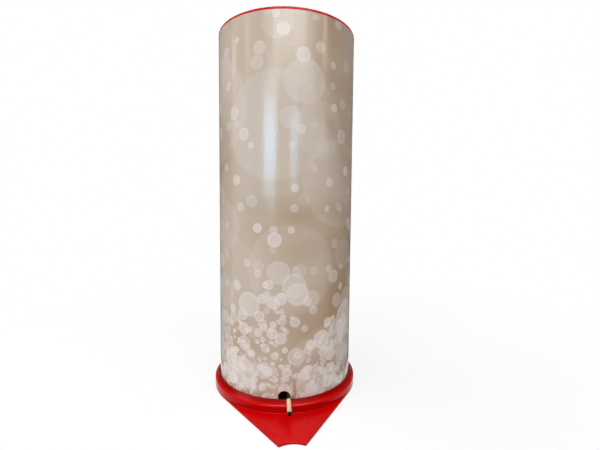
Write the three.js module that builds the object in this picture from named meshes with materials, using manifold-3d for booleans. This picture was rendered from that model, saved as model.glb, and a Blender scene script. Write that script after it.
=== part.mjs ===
// Table party popper: an empty printed card tube on a moulded base with a pointed foot.
// A plug lid closes the top. Inside, a loose driving tray rests over a small pad of
// propellant wool, and a short fuse leaves through a hole low at the front.
//
// Millimetres and degrees, +Z up. The origin is on the tube's axis, in the underside of
// the base, and the foot points to -Y.

import * as THREE from 'three';
import { mergeVertices } from 'three/addons/utils/BufferGeometryUtils.js';
import Module from 'manifold-3d';

const wasm = await Module();
wasm.setup();

// How finely round shapes are divided
const ring_sides = 72;
const hole_sides = 32;
const fuse_sides = 12;
const round_steps = 4;
const overshoot = 1;
const weld_distance = 1e-4;

// Clearances between pieces
const fit_gap = 0.3;
const glue_line = 0.15;
const slide_gap = 0.4;

// Card tube and its printed paper
const print_diameter = 90;
const paper_thickness = 0.3;
const tube_wall = 2;
const tube_length = 229.4;
const tube_turn = -2.7;
const fuse_hole_diameter = 6.8;
const fuse_hole_rise = 1;

// Moulded base: plate, collar round the tube, spigot inside it
const plate_thickness = 1.2;
const collar_height = 7;
const collar_wall = 3.3;
const collar_land = 0.4;
const collar_slope_drop = 2.8;
const collar_edge_round = 1.5;
const spigot_height = 14;
const spigot_wall = 1.6;
const spigot_lead_in = 0.7;
const notch_play = 0.6;

// Grooves that hollow the collar from below, with webs left between them
const core_skin = 1.05;
const core_roof = 3.2;
const core_count = 12;
const core_web = 1.4;

// Foot: a flat tongue with flanks that run on from the collar's circle
const foot_reach = 75.4;
const foot_tip_width = 14;
const foot_tip_hollow = 1.9;
const foot_corner_round = 0.9;
const foot_edge_round = 0.5;

// Gussets in the corner of floor and spigot, and the ring that locates the charge
const gusset_count = 6;
const gusset_thickness = 1.2;
const gusset_reach = 6;
const gusset_height = 9;
const charge_ring_wall = 1.2;
const charge_ring_height = 2.4;

// Charge: a card liner with a pad of propellant wool on it
const liner_diameter = 44;
const liner_thickness = 0.6;
const wool_diameter = 36;
const wool_height = 4.6;
const wool_edge_round = 2;

// Driving tray: a board with a card band on its edge
const board_thickness = 2.5;
const band_height = 12;
const band_wall = 0.8;

// Plug lid
const lid_flange_thickness = 1.7;
const lid_flange_round = 0.9;
const lid_rim_round = 0.5;
const lid_skirt_depth = 9;
const lid_skirt_wall = 1.3;
const lid_skirt_taper = 0.5;
const lid_panel_thickness = 1.2;
const lid_corner_round = 1;
const lid_bead_drop = 3;
const lid_bead_rise = 0.35;
const lid_step_diameter = 58;
const lid_step_height = 1;

// Fuse: a black cord with a paper sleeve and a primed tip on its free end
const cord_diameter = 1.8;
const fuse_diameter = 2.6;
const fuse_inner_end = 6;
const fuse_pull = 6;
const fuse_reach = 13;
const fuse_droop = 15;
const fuse_bend_run = 2;
const fuse_offset = -0.3;
const sleeve_start = 3;
const sleeve_gap = 0.12;
const tip_length = 1.3;
const tip_round = 0.25;
const cord_steps = 40;
const sleeve_steps = 8;

// Places that follow from the sizes
const print_radius = print_diameter / 2;
const tube_radius = print_radius - paper_thickness - glue_line;
const bore_radius = tube_radius - tube_wall;
const socket_radius = print_radius + fit_gap;
const collar_radius = socket_radius + collar_wall;
const collar_top = plate_thickness + collar_height;
const spigot_radius = bore_radius - fit_gap;
const spigot_top = plate_thickness + spigot_height;
const tube_top = plate_thickness + tube_length;
const board_radius = bore_radius - slide_gap;
const board_top = spigot_top + board_thickness;
const fuse_hole_height = collar_top + fuse_hole_rise;
const cord_radius = cord_diameter / 2;
const fuse_radius = fuse_diameter / 2;
const charge_ring_bore = liner_diameter / 2 + fit_gap;
const charge_ring_top = plate_thickness + charge_ring_height;
const liner_top = plate_thickness + liner_thickness;

// Materials
function moulded(colour) {
  return new THREE.MeshStandardMaterial({ color: colour, roughness: 0.18, metalness: 0 });
}

function card(colour) {
  return new THREE.MeshStandardMaterial({ color: colour, roughness: 0.85, metalness: 0 });
}

const base_red = moulded(0xc80d10);
const lid_red = moulded(0xc40a10);
const tube_card = card(0xa98f6c);
const grey_board = card(0x8f8a80);
const band_card = card(0xb7a27f);
const liner_card = card(0xa39a8b);
const cord_black = card(0x1b1a17);
const sleeve_cream = card(0xe8cf9e);
const wool_white = card(0xf0ead8);
const gloss_print = new THREE.MeshStandardMaterial({ color: 0xc3b29c, roughness: 0.25, metalness: 0 });

// Solids
function radians(degrees) {
  return THREE.MathUtils.degToRad(degrees);
}

function solid(geometry) {
  const bare = geometry.index ? geometry.toNonIndexed() : geometry.clone();
  bare.deleteAttribute('normal');
  bare.deleteAttribute('uv');
  const merged = mergeVertices(bare, weld_distance);
  const points = new Float32Array(merged.attributes.position.array);
  const faces = new Uint32Array(merged.index.array);
  return new wasm.Manifold(new wasm.Mesh({ numProp: 3, vertProperties: points, triVerts: faces }));
}

function shell(body) {
  const mesh = body.getMesh();
  const geometry = new THREE.BufferGeometry();
  geometry.setAttribute('position', new THREE.BufferAttribute(new Float32Array(mesh.vertProperties), 3));
  geometry.setIndex(new THREE.BufferAttribute(new Uint32Array(mesh.triVerts), 1));
  geometry.computeVertexNormals();
  return geometry;
}

function union(bodies) {
  return bodies.reduce((whole, body) => whole.add(body));
}

function cut(body, tools) {
  return tools.reduce((rest, tool) => rest.subtract(tool), body);
}

// A profile of [radius, height] points turned about the Z axis
function turned(points, sides = ring_sides) {
  const profile = points.map(([r, z]) => new THREE.Vector2(r, z));
  return new THREE.LatheGeometry(profile, sides).rotateX(Math.PI / 2);
}

// An outline whose corners are rounded. Each corner is [x, y] or [x, y, radius].
function rounded(corners, closed = true) {
  const points = [];
  corners.forEach(([x, y, radius = 0], i) => {
    const here = new THREE.Vector2(x, y);
    if (radius <= 0) {
      points.push([x, y]);
      return;
    }
    const last = corners[(i + corners.length - 1) % corners.length];
    const next = corners[(i + 1) % corners.length];
    const back = new THREE.Vector2(last[0], last[1]).sub(here).normalize();
    const ahead = new THREE.Vector2(next[0], next[1]).sub(here).normalize();
    const half = Math.acos(THREE.MathUtils.clamp(back.dot(ahead), -1, 1)) / 2;
    const reach = radius / Math.tan(half);
    const centre = back.clone().add(ahead).normalize().multiplyScalar(radius / Math.sin(half)).add(here);
    const from = here.clone().addScaledVector(back, reach).sub(centre);
    const to = here.clone().addScaledVector(ahead, reach).sub(centre);
    const start = from.angle();
    let sweep = to.angle() - start;
    if (sweep > Math.PI) sweep -= 2 * Math.PI;
    if (sweep < -Math.PI) sweep += 2 * Math.PI;
    for (let k = 0; k <= round_steps; k += 1) {
      const angle = start + (sweep * k) / round_steps;
      points.push([centre.x + radius * Math.cos(angle), centre.y + radius * Math.sin(angle)]);
    }
  });
  return closed ? [...points, points[0]] : points;
}

function washer(inner, outer, low, high) {
  return turned([[inner, low], [outer, low], [outer, high], [inner, high], [inner, low]]);
}

function disc(radius, low, high) {
  return turned([[0, low], [radius, low], [radius, high], [0, high]]);
}

// A bar of round section that points from the axis to the front, turned about Z
function front_bore(radius, height, turn) {
  const bar = new THREE.CylinderGeometry(radius, radius, print_diameter, hole_sides);
  return bar.translate(0, -print_radius, height).rotateZ(radians(turn));
}

function add(group, name, geometry, material) {
  const mesh = new THREE.Mesh(geometry, material);
  mesh.name = name;
  group.add(mesh);
}

// Base: one profile makes floor, collar, spigot and charge ring
function base_profile() {
  const slope_low = collar_top - collar_slope_drop;
  const spigot_inner = spigot_radius - spigot_wall;
  return rounded([
    [0, 0],
    [collar_radius, 0],
    [collar_radius, slope_low, collar_edge_round],
    [socket_radius + collar_land, collar_top, collar_land],
    [socket_radius, collar_top],
    [socket_radius, plate_thickness],
    [spigot_radius, plate_thickness],
    [spigot_radius, spigot_top - spigot_lead_in],
    [spigot_radius - spigot_lead_in, spigot_top],
    [spigot_inner, spigot_top],
    [spigot_inner, plate_thickness],
    [charge_ring_bore + charge_ring_wall, plate_thickness],
    [charge_ring_bore + charge_ring_wall, charge_ring_top],
    [charge_ring_bore, charge_ring_top],
    [charge_ring_bore, plate_thickness],
    [0, plate_thickness],
  ], false);
}

// The foot's flanks are tangents from the tip's corners to the collar's circle
function foot_outline() {
  const half_tip = foot_tip_width / 2;
  const corner_angle = Math.atan2(half_tip, foot_reach);
  const flank_angle = corner_angle + Math.acos(collar_radius / Math.hypot(half_tip, foot_reach));
  const flank_x = collar_radius * Math.sin(flank_angle);
  const flank_y = -collar_radius * Math.cos(flank_angle);
  const hollow = new THREE.QuadraticBezierCurve(
    new THREE.Vector2(-half_tip, -foot_reach),
    new THREE.Vector2(0, 2 * foot_tip_hollow - foot_reach),
    new THREE.Vector2(half_tip, -foot_reach),
  );
  const tip = hollow.getPoints(2 * round_steps).slice(1, -1).map((p) => [p.x, p.y]);
  return rounded([
    [-flank_x, flank_y],
    [-half_tip, -foot_reach, foot_corner_round],
    ...tip,
    [half_tip, -foot_reach, foot_corner_round],
    [flank_x, flank_y],
  ], false);
}

function foot_tongue() {
  const shape = new THREE.Shape(foot_outline().map(([x, y]) => new THREE.Vector2(x, y)));
  const slab = new THREE.ExtrudeGeometry(shape, {
    depth: plate_thickness,
    bevelThickness: foot_edge_round,
    bevelSize: foot_edge_round,
    bevelOffset: -foot_edge_round,
    bevelSegments: round_steps,
  }).translate(0, 0, -foot_edge_round);
  const spare = new THREE.BoxGeometry(4 * foot_reach, 4 * foot_reach, 2 * overshoot);
  return solid(slab).subtract(solid(spare.translate(0, 0, -overshoot)));
}

// A block between two radii, two angles and two heights
function ring_sector(inner, outer, from, to, low, high) {
  const shape = new THREE.Shape();
  shape.absarc(0, 0, outer, from, to, false);
  shape.absarc(0, 0, inner, to, from, true);
  const block = new THREE.ExtrudeGeometry(shape, {
    depth: high - low,
    bevelEnabled: false,
    curveSegments: round_steps,
  });
  return solid(block.translate(0, 0, low));
}

function collar_grooves() {
  const inner = socket_radius + core_skin;
  const outer = collar_radius - core_skin;
  const half_web = core_web / (inner + outer);
  const step = (2 * Math.PI) / core_count;
  return Array.from({ length: core_count }, (_, i) => ring_sector(
    inner,
    outer,
    i * step + half_web,
    (i + 1) * step - half_web,
    -overshoot,
    collar_top - core_roof,
  ));
}

function gussets() {
  const root = spigot_radius - spigot_wall / 2;
  const toe = spigot_radius - spigot_wall - gusset_reach;
  const foot = plate_thickness / 2;
  const shape = new THREE.Shape([
    new THREE.Vector2(toe, foot),
    new THREE.Vector2(root, foot),
    new THREE.Vector2(root, plate_thickness + gusset_height),
    new THREE.Vector2(toe, plate_thickness),
  ]);
  return Array.from({ length: gusset_count }, (_, i) => {
    const fin = new THREE.ExtrudeGeometry(shape, { depth: gusset_thickness, bevelEnabled: false });
    fin.translate(0, 0, -gusset_thickness / 2).rotateX(Math.PI / 2);
    return solid(fin.rotateZ(((i + 0.5) * 2 * Math.PI) / gusset_count - Math.PI / 2));
  });
}

// A notch in the spigot behind the fuse hole, open to the top
function fuse_notch() {
  const low = fuse_hole_height - fuse_hole_diameter / 2;
  const high = spigot_top + overshoot;
  const width = fuse_hole_diameter + 2 * notch_play;
  const depth = spigot_wall + 2 * overshoot;
  const notch = new THREE.BoxGeometry(width, depth, high - low);
  notch.translate(0, spigot_wall / 2 - spigot_radius, (high + low) / 2);
  return solid(notch.rotateZ(radians(tube_turn)));
}

function base_foot() {
  const moulding = union([solid(turned(base_profile())), foot_tongue(), ...gussets()]);
  return shell(cut(moulding, [...collar_grooves(), fuse_notch()]));
}

// Tube and print: the same hole goes through both
function holed_tube(inner, outer) {
  const pipe = solid(washer(inner, outer, plate_thickness, tube_top));
  return shell(pipe.subtract(solid(front_bore(fuse_hole_diameter / 2, fuse_hole_height, tube_turn))));
}

// Lid: flange, tapered skirt with a sealing bead, and a panel stepped up in the middle
function lid_profile() {
  const skirt = bore_radius - fit_gap - lid_bead_rise;
  const low_skirt = skirt - lid_skirt_taper;
  const top = tube_top + lid_flange_thickness;
  const low = tube_top - lid_skirt_depth;
  const panel = low + lid_panel_thickness;
  const step = lid_step_diameter / 2;
  const bead = tube_top - lid_bead_drop;
  return rounded([
    [0, low + lid_step_height],
    [step - lid_step_height, low + lid_step_height],
    [step, low],
    [low_skirt, low, lid_corner_round],
    [skirt, bead - 2 * lid_bead_rise],
    [skirt + lid_bead_rise, bead],
    [skirt, bead + 2 * lid_bead_rise],
    [skirt, tube_top],
    [print_radius, tube_top],
    [print_radius, top, lid_flange_round],
    [skirt - lid_skirt_wall, top, lid_rim_round],
    [low_skirt - lid_skirt_wall, panel, lid_rim_round],
    [step, panel],
    [step - lid_step_height, panel + lid_step_height],
    [0, panel + lid_step_height],
  ], false);
}

// Fuse route, in the upright plane of the foot: out of the wool, up through the notch and the
// hole, over the collar's edge and down to the free end
function front_point(radius, height) {
  return new THREE.Vector3(fuse_offset, -radius, height);
}

const fuse_crest = collar_top + fit_gap + cord_radius;
const fuse_start_height = liner_top + wool_height / 2;
const fuse_end_radius = print_radius + fuse_reach;
const bend_radius = socket_radius + fuse_bend_run;
const fuse_end_height = fuse_crest - (fuse_end_radius - bend_radius) * Math.tan(radians(fuse_droop));

function inner_run(start_radius) {
  return new THREE.CubicBezierCurve3(
    front_point(start_radius, fuse_start_height),
    front_point(charge_ring_bore + fuse_pull, fuse_start_height),
    front_point(spigot_radius - spigot_wall - fuse_pull, fuse_crest),
    front_point(socket_radius, fuse_crest),
  );
}

function outer_run() {
  return new THREE.QuadraticBezierCurve3(
    front_point(socket_radius, fuse_crest),
    front_point(bend_radius, fuse_crest),
    front_point(fuse_end_radius, fuse_end_height),
  );
}

// Part of a run between two lengths along it
function stretch(run, from, to, steps) {
  const length = run.getLength();
  const points = Array.from({ length: steps + 1 }, (_, i) => (
    run.getPointAt((from + ((to - from) * i) / steps) / length)
  ));
  return new THREE.CatmullRomCurve3(points);
}

function whole_route(start_radius) {
  const inner = inner_run(start_radius).getSpacedPoints(cord_steps - sleeve_steps);
  const outer = outer_run();
  const end = stretch(outer, 0, outer.getLength() - tip_length / 2, sleeve_steps).getPoints(sleeve_steps);
  return new THREE.CatmullRomCurve3([...inner, ...end.slice(1)]);
}

function along(path, radius, bore, steps) {
  const section = new THREE.Shape();
  section.absarc(0, 0, radius, 0, 2 * Math.PI, false);
  if (bore > 0) {
    const hole = new THREE.Path();
    hole.absarc(0, 0, bore, 0, 2 * Math.PI, true);
    section.holes.push(hole);
  }
  return new THREE.ExtrudeGeometry(section, {
    steps,
    extrudePath: path,
    curveSegments: fuse_sides / 2,
  });
}

function primed_tip() {
  const head = turned(rounded([
    [0, 0],
    [fuse_radius, 0],
    [fuse_radius, tip_length, tip_round],
    [0, tip_length],
  ], false), 2 * fuse_sides);
  const outer = outer_run();
  const end = outer.getPoint(1);
  const heading = outer.getTangent(1);
  const turn = new THREE.Quaternion().setFromUnitVectors(new THREE.Vector3(0, 0, 1), heading);
  const place = end.addScaledVector(heading, -tip_length);
  return head.applyQuaternion(turn).translate(place.x, place.y, place.z);
}

function fuse_cord() {
  const cord = solid(along(whole_route(fuse_inner_end), cord_radius, 0, cord_steps));
  return shell(cord.add(solid(primed_tip())));
}

function fuse_sleeve() {
  const outer = outer_run();
  const from = sleeve_start - fit_gap;
  const to = outer.getLength() - tip_length - sleeve_gap;
  const path = stretch(outer, from, to, sleeve_steps);
  return along(path, fuse_radius, cord_radius + sleeve_gap, sleeve_steps);
}

// Propellant wool: a soft pad with a channel that the fuse's inner end lies in
function propellant_wool() {
  const pad = solid(turned(rounded([
    [0, liner_top],
    [wool_diameter / 2, liner_top, wool_edge_round],
    [wool_diameter / 2, liner_top + wool_height, wool_edge_round],
    [0, liner_top + wool_height],
  ], false), hole_sides));
  const channel = along(whole_route(fuse_inner_end - fit_gap), cord_radius + fit_gap, 0, cord_steps);
  return shell(pad.subtract(solid(channel)));
}

// The whole popper
const popper = new THREE.Group();
add(popper, 'base_foot', base_foot(), base_red);
add(popper, 'tube_core', holed_tube(bore_radius, tube_radius), tube_card);
add(popper, 'printed_wrap', holed_tube(tube_radius + glue_line, print_radius), gloss_print);
add(popper, 'lid', turned(lid_profile()), lid_red);
add(popper, 'driving_board', disc(board_radius, spigot_top, board_top), grey_board);
add(popper, 'driving_band', washer(board_radius - band_wall, board_radius, board_top, board_top + band_height),
  band_card);
add(popper, 'charge_liner', disc(liner_diameter / 2, plate_thickness, liner_top), liner_card);
add(popper, 'propellant_wool', propellant_wool(), wool_white);
add(popper, 'fuse_cord', fuse_cord(), cord_black);
add(popper, 'fuse_sleeve', fuse_sleeve(), sleeve_cream);

export default popper;
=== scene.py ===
"""The visible model of an empty table popper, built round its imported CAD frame."""

import math

import bmesh
import bpy
from bpy.props import FloatProperty, FloatVectorProperty, IntProperty, PointerProperty
from mathutils import Matrix, Vector, noise


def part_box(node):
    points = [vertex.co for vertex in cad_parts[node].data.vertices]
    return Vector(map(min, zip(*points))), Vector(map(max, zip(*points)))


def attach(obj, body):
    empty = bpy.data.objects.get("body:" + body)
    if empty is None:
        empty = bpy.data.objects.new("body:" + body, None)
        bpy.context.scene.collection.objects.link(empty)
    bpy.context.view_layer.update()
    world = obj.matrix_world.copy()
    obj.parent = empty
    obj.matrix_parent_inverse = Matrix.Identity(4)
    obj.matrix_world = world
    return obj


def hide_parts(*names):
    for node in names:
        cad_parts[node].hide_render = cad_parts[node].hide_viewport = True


bl_info = {
    "name": "Table popper",
    "version": (1, 0, 0),
    "blender": (4, 5, 0),
    "location": "3D View > Sidebar > Popper",
    "description": "Builds an empty printed table popper on its moulded foot",
    "category": "Object",
}

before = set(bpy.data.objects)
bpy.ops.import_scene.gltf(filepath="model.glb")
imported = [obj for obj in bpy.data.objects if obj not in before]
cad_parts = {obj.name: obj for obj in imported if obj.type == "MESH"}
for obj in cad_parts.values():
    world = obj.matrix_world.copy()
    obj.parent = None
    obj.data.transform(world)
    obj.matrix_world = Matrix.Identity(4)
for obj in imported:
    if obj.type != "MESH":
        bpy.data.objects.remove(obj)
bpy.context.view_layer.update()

MM = 0.001
QUARTER = math.pi / 2
TURN = 2 * math.pi
WELD = 1e-7

# Places that the frame gives
_, base_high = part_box("base_foot")
wrap_low, wrap_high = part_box("printed_wrap")
core_low, core_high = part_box("tube_core")
lid_low, lid_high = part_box("lid")
board_low, board_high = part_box("driving_board")
band_low, band_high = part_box("driving_band")
liner_low, liner_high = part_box("charge_liner")
wool_low, wool_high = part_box("propellant_wool")

# Fits between the pieces, as in the frame
FIT = 0.3 * MM
SOCKET = wrap_high.x + FIT
COLLAR = base_high.x
COLLAR_TOP = 8.2 * MM
FLOOR = liner_low.z
BORE = core_high.x - 2 * MM
PLIES = 6
PAPER = 0.3 * MM
SPIGOT = BORE - FIT
SPIGOT_WALL = 1.6 * MM
SPIGOT_INNER = SPIGOT - SPIGOT_WALL
SPIGOT_TOP = board_low.z
# The fuse hole is 0.3 mm larger in radius and 0.9 degrees further round than in the frame
HOLE_RADIUS = 3.7 * MM
HOLE_HEIGHT = COLLAR_TOP + 1 * MM
HOLE_TURN = math.radians(-3.6)


def linear(code):
    """A hex colour, as a screen shows it, in the linear values that shaders take."""
    parts = [int(code[i : i + 2], 16) / 255 for i in (0, 2, 4)]
    return (*(p / 12.92 if p <= 0.04045 else ((p + 0.055) / 1.055) ** 2.4 for p in parts), 1.0)


def size(name, about, default):
    return FloatProperty(
        name=name, description=about, default=default, min=0, unit="LENGTH", precision=5
    )


def tint(name, about, code):
    return FloatVectorProperty(
        name=name, description=about, default=linear(code)[:3], size=3, min=0, max=1,
        subtype="COLOR",
    )


class BaseSettings(bpy.types.PropertyGroup):
    red: tint("Red", "Colour of the moulded base", "C40003")
    collar_slope: size("Collar slope", "How far the collar's top slopes down", 2.8 * MM)
    collar_round: size("Collar rounding", "Radius between the collar's slope and wall", 1.5 * MM)
    foot_tip: size("Foot tip width", "Width of the foot's cut-off tip", 14 * MM)
    foot_hollow: size("Foot tip hollow", "How deep the foot's tip is hollowed", 1.9 * MM)
    foot_round: size("Foot edge rounding", "Radius of the foot's upper edge", 0.5 * MM)
    grooves: IntProperty(
        name="Grooves", description="Number of grooves under the collar", default=12, min=4, max=24
    )
    gussets: IntProperty(
        name="Gussets", description="Number of gussets inside the spigot", default=6, min=2, max=12
    )


class TubeSettings(bpy.types.PropertyGroup):
    ground: tint("Ground", "Darker colour of the print's ground", "977A5B")
    light_ground: tint("Light ground", "Lighter colour of the print's ground", "AE9E8C")
    spot: tint("Spots", "Colour of the print's soft spots", "D2C9C5")
    card: tint("Card", "Colour of the tube's card", "A58A66")
    lap: size("Paper lap", "How far the printed paper laps over itself at the back", 9 * MM)
    ply_lead: size("Ply lead", "Height in which the inner ply turns once", 114.7 * MM)


class LidSettings(bpy.types.PropertyGroup):
    red: tint("Red", "Colour of the plug lid", "C20004")
    flange: size("Flange thickness", "Thickness of the lid's flange", 1.7 * MM)
    flange_round: size("Flange rounding", "Radius of the flange's upper edge", 0.9 * MM)
    skirt_wall: size("Skirt wall", "Wall of the lid's skirt", 1.3 * MM)
    panel: size("Panel thickness", "Thickness of the sunk panel", 1.2 * MM)
    step: size("Panel step", "Diameter of the step in the panel", 58 * MM)


class TraySettings(bpy.types.PropertyGroup):
    board: tint("Board", "Colour of the grey board", "8F8A80")
    band: tint("Band", "Colour of the card band", "B7A27F")
    band_wall: size("Band wall", "Thickness of the card band", 0.8 * MM)


class FuseSettings(bpy.types.PropertyGroup):
    cord: tint("Cord", "Colour of the coated cord", "221F1B")
    sleeve: tint("Sleeve", "Colour of the paper sleeve", "DCC098")
    prime: tint("Prime", "Colour of the primed tip", "0C0907")
    wool: tint("Wool", "Colour of the propellant wool", "EFE9D8")
    cord_width: size("Cord diameter", "Diameter of the coated cord", 1.8 * MM)
    sleeve_width: size("Sleeve diameter", "Outer diameter of the sleeve and the tip", 2.6 * MM)
    thread: size("Thread pitch", "Distance between the turns of the cord's thread", 0.75 * MM)


class StageSettings(bpy.types.PropertyGroup):
    fill: FloatProperty(
        name="Room", description="Level of the room's plain light", default=0.39, min=0, max=1,
        subtype="FACTOR",
    )
    floor: tint("Floor", "Colour of the floor", "F2F2F2")


# Meshes


def rounded(corners, steps=6, margin=0.0):
    """The points of an open profile. A corner is (r, z) or (r, z, radius). A margin adds a point
    close to each side of a rounding, which keeps the shading of the walls beside it even."""
    runs = []
    for i, corner in enumerate(corners):
        here = Vector(corner[:2])
        radius = corner[2] if len(corner) > 2 else 0
        if radius <= 0:
            runs.append([here])
            continue
        back = (Vector(corners[i - 1][:2]) - here).normalized()
        ahead = (Vector(corners[i + 1][:2]) - here).normalized()
        half = back.angle(ahead) / 2
        centre = here + (back + ahead).normalized() * radius / math.sin(half)
        start = here + back * radius / math.tan(half) - centre
        end = here + ahead * radius / math.tan(half) - centre
        first = math.atan2(start.y, start.x)
        sweep = math.remainder(math.atan2(end.y, end.x) - first, TURN)
        angles = [first + sweep * k / steps for k in range(steps + 1)]
        runs.append([centre + radius * Vector((math.cos(a), math.sin(a))) for a in angles])
    points = []
    for i, run in enumerate(runs):
        points += run
        if margin and i + 1 < len(runs):
            gap = runs[i + 1][0] - run[-1]
            if gap.length > 3 * margin:
                step = gap.normalized() * margin
                points += [run[-1] + step, runs[i + 1][0] - step]
    return points


def skin(name, points, faces, materials, slots=None, corners=None, crease=35):
    """A mesh object of welded points. slots is a material index for each face, and corners a
    pair of print coordinates for each corner of each face."""
    mesh = bpy.data.meshes.new(name)
    mesh.from_pydata([tuple(p) for p in points], [], faces)
    for material in materials:
        mesh.materials.append(material)
    if slots:
        mesh.polygons.foreach_set("material_index", slots)
    if corners:
        layer = mesh.uv_layers.new(name="print")
        layer.data.foreach_set("uv", [value for face in corners for pair in face for value in pair])
    form = bmesh.new()
    form.from_mesh(mesh)
    bmesh.ops.remove_doubles(form, verts=form.verts, dist=WELD)
    bmesh.ops.dissolve_degenerate(form, edges=form.edges, dist=WELD)
    form.to_mesh(mesh)
    form.free()
    return shade(link(name, mesh), crease)


def link(name, mesh):
    piece = bpy.data.objects.new(name, mesh)
    bpy.context.scene.collection.objects.link(piece)
    return piece


def shade(piece, crease=35):
    """Smooth shading, with the edges sharper than crease degrees kept sharp."""
    piece.data.shade_smooth()
    piece.data.set_sharp_from_angle(angle=math.radians(crease))
    return piece


def settle(piece, crease=35):
    """Turns what the piece's modifiers give into its plain mesh, and removes them."""
    bpy.context.view_layer.update()
    graph = bpy.context.evaluated_depsgraph_get()
    mesh = bpy.data.meshes.new_from_object(piece.evaluated_get(graph), depsgraph=graph)
    piece.modifiers.clear()
    rough, piece.data = piece.data, mesh
    bpy.data.meshes.remove(rough)
    mesh.name = piece.name
    return shade(piece, crease)


def loft(columns, closed=True):
    """Faces between columns of points that all hold the same number of points."""
    count = len(columns)
    rows = len(columns[0])
    points = [p for column in columns for p in column]
    faces = []
    for j in range(count if closed else count - 1):
        here, there = j * rows, (j + 1) % count * rows
        faces += [(here + i, there + i, there + i + 1, here + i + 1) for i in range(rows - 1)]
    return points, faces


def heading(turn):
    """The level direction at an angle from the front, positive to the right."""
    return Vector((math.sin(turn), -math.cos(turn), 0))


def at(turn, radius, height):
    return heading(turn) * radius + Vector((0, 0, height))


def place(piece, body, slot, *nodes):
    """The piece moves with the body and stands for the nodes. The slot is not used."""
    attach(piece, body)
    if nodes:
        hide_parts(*nodes)


# Node trees


def plug(tree, socket, value):
    """Gives a socket a value, or the result of a node or of another socket."""
    if isinstance(value, bpy.types.Node):
        value = next(output for output in value.outputs if output.enabled)
    if isinstance(value, bpy.types.NodeSocket):
        tree.links.new(value, socket)
    elif value is not None:
        socket.default_value = value


def put(tree, kind, *values, **named):
    """Adds a node, a shader's unless its kind says otherwise. The kind's second word is its
    operation, and names in small letters are its other settings. Its inputs are given in their
    order, or by their name with a capital."""
    kind, _, operation = kind.partition(" ")
    node = tree.nodes.new(kind if "Node" in kind else "ShaderNode" + kind)
    if operation:
        node.operation = operation
    for name, value in named.items():
        if name.islower():
            setattr(node, name, value)
    sockets = [socket for socket in node.inputs if socket.enabled]
    for socket, value in zip(sockets, values):
        plug(tree, socket, value)
    for name, value in named.items():
        if not name.islower():
            plug(tree, node.inputs[name.replace("_", " ")], value)
    return node


def group(name, kind, gives, **inputs):
    """An empty node group, what its inputs give, and its end. An input is said by its default, or
    by its type where it has none, and the result by its type."""
    tree = bpy.data.node_groups.new(name, kind)
    for label, default in inputs.items():
        typed = isinstance(default, str)
        socket = "NodeSocket" + (default if typed else type(default).__name__.title())
        item = tree.interface.new_socket(label.replace("_", " "), socket_type=socket)
        if not typed:
            item.default_value = default
    tree.interface.new_socket("Result", in_out="OUTPUT", socket_type="NodeSocket" + gives)
    return tree, put(tree, "NodeGroupInput").outputs, put(tree, "NodeGroupOutput")


def apply_tree(piece, tree, **values):
    """Runs a geometry tree on a piece with these named inputs, and keeps the plain result."""
    modifier = piece.modifiers.new(tree.name, "NODES")
    modifier.node_group = tree
    for item in tree.interface.items_tree:
        if item.in_out == "INPUT" and item.name in values:
            modifier[item.identifier] = values[item.name]
    return settle(piece)


def finish(name, **values):
    """A material and its shader, with the values that are the same all over the surface."""
    material = bpy.data.materials.new(name)
    material.use_nodes = True
    tree = material.node_tree
    shader = tree.nodes["Principled BSDF"]
    feed(tree, shader, **values)
    return material, tree, shader


def feed(tree, shader, **sources):
    """Gives the shader's sockets values or node results."""
    for name, source in sources.items():
        plug(tree, shader.inputs[name.replace("_", " ")], source)


def mottled(tree, spot, dark, light, start=0.3, end=0.7, **grain):
    """A noise, and the colour that it mixes from two tones. The dark one can be a share of the
    light one."""
    pattern = put(tree, "TexNoise", Vector=spot, **grain)
    share = put(tree, "MapRange", pattern, start, end)
    tone = [c * dark for c in light] if isinstance(dark, float) else dark
    return pattern, put(tree, "Mix", share, (*tone, 1), (*light, 1), data_type="RGBA")


def relief(tree, spot, height, under=None, strength=1, **grain):
    """A noise, and the bumps that it makes, on top of those under it."""
    pattern = put(tree, "TexNoise", Vector=spot, **grain)
    return pattern, put(
        tree, "Bump", Strength=strength, Distance=height, Height=pattern, Normal=under
    )


def off_axis(tree, spot):
    """Distance from the upright axis."""
    flat = put(tree, "VectorMath MULTIPLY", spot, (1, 1, 0))
    return put(tree, "VectorMath LENGTH", flat)


def seen_rays(tree):
    """1 for the rays by which the camera, a gloss or something clear shows a surface."""
    path = put(tree, "LightPath").outputs
    mirrored = put(tree, "Math ADD", path["Is Camera Ray"], path["Is Glossy Ray"])
    return put(tree, "Math ADD", mirrored, path["Is Transmission Ray"])


# Materials


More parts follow.
